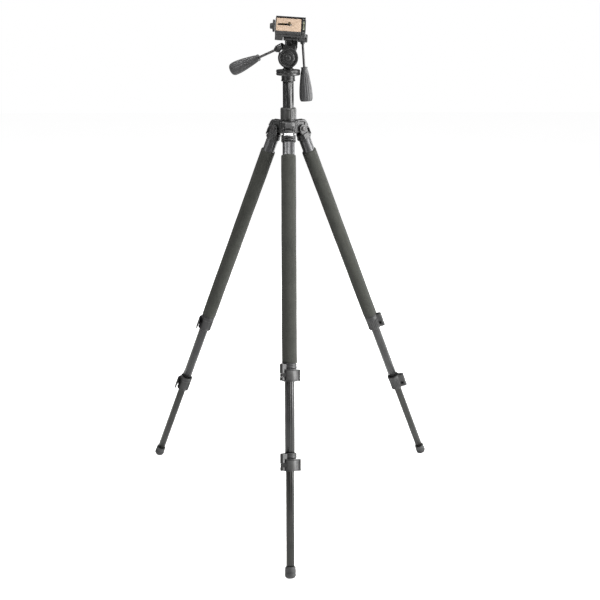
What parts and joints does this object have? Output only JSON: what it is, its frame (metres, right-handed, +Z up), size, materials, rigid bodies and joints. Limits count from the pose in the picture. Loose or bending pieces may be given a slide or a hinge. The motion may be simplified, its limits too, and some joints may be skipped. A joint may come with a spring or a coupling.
{
  "type": "camera tripod with three-way pan and tilt head",
  "caption": "Tripod with flip-lock telescopic legs, foam sleeves, sliding centre column and a two-handle pan and tilt head with a cork-faced quick-release plate.",
  "frame": {"origin": "on the floor at the centre of the footprint box", "axes": "+Z up, the front leg points to -Y, the side tilt axis runs close to X"},
  "size_m": [0.7636, 0.665, 1.1996],
  "materials": {
    "anodised": "satin dark anodised tube",
    "casting": "black semi-matt coat on die-cast aluminium alloy",
    "plastic": "black moulded plastic",
    "rubber": "black rubber",
    "foam": "dark closed-cell foam sleeve",
    "steel": "plain steel",
    "cork": "natural cork",
    "glass": "tinted level tube",
    "dark_steel": "blackened steel rod"
  },
  "bodies": {
    "hub": {"hub": "casting", "hinge_bolt_front": "steel", "hinge_bolt_right": "steel", "hinge_bolt_left": "steel"},
    "column_collar": {"column_collar": "rubber"},
    "column": {"column": "anodised", "column_end_cap": "plastic", "column_top_collar": "casting", "column_plate": "casting", "head_base": "casting"},
    "pan": {"pan_body": "casting"},
    "tilt": {"tilt_frame": "casting", "tilt_axle": "plastic"},
    "tilt_handle": {"tilt_handle_rod": "dark_steel", "tilt_handle_grip": "rubber", "tilt_handle_nut": "casting"},
    "platform": {"platform_body": "casting", "side_shaft": "casting", "level_vial": "glass"},
    "side_handle": {"side_handle_rod": "dark_steel", "side_handle_grip": "rubber"},
    "quick_plate": {"qr_plate": "casting", "cork_pad": "cork"},
    "quick_lever": {"qr_lever": "plastic"},
    "camera_screw": {"camera_screw": "steel"},
    "video_pin": {"video_pin": "steel"},
    "leg_front": {"leg_top_front": "casting", "upper_tube_front": "anodised", "foam_grip_front": "foam", "lock_collar_1_front": "plastic"},
    "stop_tab_front": {"stop_tab_front": "plastic"},
    "lock_lever_1_front": {"lock_lever_1_front": "plastic"},
    "middle_front": {"middle_tube_front": "anodised", "lock_collar_2_front": "plastic"},
    "lock_lever_2_front": {"lock_lever_2_front": "plastic"},
    "lower_front": {"lower_tube_front": "anodised", "rubber_foot_front": "rubber"},
    "leg_right": {"leg_top_right": "casting", "upper_tube_right": "anodised", "foam_grip_right": "foam", "lock_collar_1_right": "plastic"},
    "stop_tab_right": {"stop_tab_right": "plastic"},
    "lock_lever_1_right": {"lock_lever_1_right": "plastic"},
    "middle_right": {"middle_tube_right": "anodised", "lock_collar_2_right": "plastic"},
    "lock_lever_2_right": {"lock_lever_2_right": "plastic"},
    "lower_right": {"lower_tube_right": "anodised", "rubber_foot_right": "rubber"},
    "leg_left": {"leg_top_left": "casting", "upper_tube_left": "anodised", "foam_grip_left": "foam", "lock_collar_1_left": "plastic"},
    "stop_tab_left": {"stop_tab_left": "plastic"},
    "lock_lever_1_left": {"lock_lever_1_left": "plastic"},
    "middle_left": {"middle_tube_left": "anodised", "lock_collar_2_left": "plastic"},
    "lock_lever_2_left": {"lock_lever_2_left": "plastic"},
    "lower_left": {"lower_tube_left": "anodised", "rubber_foot_left": "rubber"}
  },
  "joints": [
    {"name": "column_slide", "type": "slide", "parent": "hub", "child": "column", "axis": [0, 0, 1], "range_m": [-0.043, 0.19]},
    {"name": "column_lock_turn", "type": "hinge", "parent": "hub", "child": "column_collar", "pos_m": [0, 0.1065, 0.9772], "axis": [0, 0, 1], "range_deg": [0, 90]},
    {"name": "pan_turn", "type": "hinge", "parent": "column", "child": "pan", "pos_m": [0, 0.1065, 1.0792], "axis": [0, 0, 1], "continuous": true},
    {"name": "tilt_turn", "type": "hinge", "parent": "pan", "child": "tilt", "pos_m": [0, 0.1065, 1.106], "axis": [0, 1, 0], "range_deg": [-30, 1]},
    {"name": "side_tilt_turn", "type": "hinge", "parent": "tilt", "child": "platform", "pos_m": [0.00292, 0.1065, 1.15121], "axis": [0.9979, 0, -0.0645], "range_deg": [-45, 38]},
    {"name": "tilt_handle_twist", "type": "hinge", "parent": "tilt", "child": "tilt_handle", "pos_m": [-0.0246, 0.107, 1.1253], "axis": [-0.828, 0.4067, -0.3861], "range_deg": [0, 180]},
    {"name": "side_handle_twist", "type": "hinge", "parent": "platform", "child": "side_handle", "pos_m": [0.03316, 0.1065, 1.14925], "axis": [0.0645, 0, -0.9979], "range_deg": [0, 180]},
    {"name": "quick_plate_lift", "type": "slide", "parent": "platform", "child": "quick_plate", "axis": [0.0529, -0.5736, 0.8174], "range_m": [0, 0.03]},
    {"name": "quick_lever_swing", "type": "hinge", "parent": "platform", "child": "quick_lever", "pos_m": [-0.0319, 0.08249, 1.16598], "axis": [0.0529, -0.5736, 0.8174], "range_deg": [0, 35], "stiffness_Nm_per_rad": 0.2, "springref_deg": -11.46},
    {"name": "camera_screw_turn", "type": "hinge", "parent": "quick_plate", "child": "camera_screw", "pos_m": [0.00332, 0.087, 1.17909], "axis": [0.0529, -0.5736, 0.8174], "continuous": true},
    {"name": "video_pin_press", "type": "slide", "parent": "quick_plate", "child": "video_pin", "axis": [0.0529, -0.5736, 0.8174], "range_m": [-0.0018, 0], "stiffness_N_per_m": 400, "springref_m": 0.002},
    {"name": "leg_hinge_front", "type": "hinge", "parent": "hub", "child": "leg_front", "pos_m": [0, 0.07341, 0.94181], "axis": [1, 0, 0], "range_deg": [0, 22.5]},
    {"name": "stop_tab_pull_front", "type": "hinge", "parent": "leg_front", "child": "stop_tab_front", "pos_m": [0, 0.05602, 0.94047], "axis": [-1, 0, 0], "range_deg": [0, 20], "stiffness_Nm_per_rad": 0.1, "springref_deg": -11.46},
    {"name": "lock_1_flip_front", "type": "hinge", "parent": "leg_front", "child": "lock_lever_1_front", "pos_m": [-0.01732, -0.16404, 0.42421], "axis": [0, -0.3891, -0.9212], "range_deg": [0, 110]},
    {"name": "lock_2_flip_front", "type": "hinge", "parent": "middle_front", "child": "lock_lever_2_front", "pos_m": [-0.01732, -0.2421, 0.23942], "axis": [0, -0.3891, -0.9212], "range_deg": [0, 110]},
    {"name": "middle_slide_front", "type": "slide", "parent": "leg_front", "child": "middle_front", "axis": [0, -0.3891, -0.9212], "range_m": [-0.158, 0.25]},
    {"name": "lower_slide_front", "type": "slide", "parent": "middle_front", "child": "lower_front", "axis": [0, -0.3891, -0.9212], "range_m": [-0.208, 0.25]},
    {"name": "leg_hinge_right", "type": "hinge", "parent": "hub", "child": "leg_right", "pos_m": [0.02866, 0.12305, 0.94181], "axis": [-0.5, 0.866, 0], "range_deg": [0, 22.5]},
    {"name": "stop_tab_pull_right", "type": "hinge", "parent": "leg_right", "child": "stop_tab_right", "pos_m": [0.04372, 0.13174, 0.94047], "axis": [0.5, -0.866, 0], "range_deg": [0, 20], "stiffness_Nm_per_rad": 0.1, "springref_deg": -11.46},
    {"name": "lock_1_flip_right", "type": "hinge", "parent": "leg_right", "child": "lock_lever_1_right", "pos_m": [0.24296, 0.22677, 0.42421], "axis": [0.337, 0.1946, -0.9212], "range_deg": [0, 110]},
    {"name": "lock_2_flip_right", "type": "hinge", "parent": "middle_right", "child": "lock_lever_2_right", "pos_m": [0.31056, 0.2658, 0.23942], "axis": [0.337, 0.1946, -0.9212], "range_deg": [0, 110]},
    {"name": "middle_slide_right", "type": "slide", "parent": "leg_right", "child": "middle_right", "axis": [0.337, 0.1946, -0.9212], "range_m": [-0.158, 0.25]},
    {"name": "lower_slide_right", "type": "slide", "parent": "middle_right", "child": "lower_right", "axis": [0.337, 0.1946, -0.9212], "range_m": [-0.208, 0.25]},
    {"name": "leg_hinge_left", "type": "hinge", "parent": "hub", "child": "leg_left", "pos_m": [-0.02866, 0.12305, 0.94181], "axis": [-0.5, -0.866, 0], "range_deg": [0, 22.5]},
    {"name": "stop_tab_pull_left", "type": "hinge", "parent": "leg_left", "child": "stop_tab_left", "pos_m": [-0.04372, 0.13174, 0.94047], "axis": [0.5, 0.866, 0], "range_deg": [0, 20], "stiffness_Nm_per_rad": 0.1, "springref_deg": -11.46},
    {"name": "lock_1_flip_left", "type": "hinge", "parent": "leg_left", "child": "lock_lever_1_left", "pos_m": [-0.22563, 0.25677, 0.42421], "axis": [-0.337, 0.1946, -0.9212], "range_deg": [0, 110]},
    {"name": "lock_2_flip_left", "type": "hinge", "parent": "middle_left", "child": "lock_lever_2_left", "pos_m": [-0.29323, 0.2958, 0.23942], "axis": [-0.337, 0.1946, -0.9212], "range_deg": [0, 110]},
    {"name": "middle_slide_left", "type": "slide", "parent": "leg_left", "child": "middle_left", "axis": [-0.337, 0.1946, -0.9212], "range_m": [-0.158, 0.25]},
    {"name": "lower_slide_left", "type": "slide", "parent": "middle_left", "child": "lower_left", "axis": [-0.337, 0.1946, -0.9212], "range_m": [-0.208, 0.25]}
  ]
}
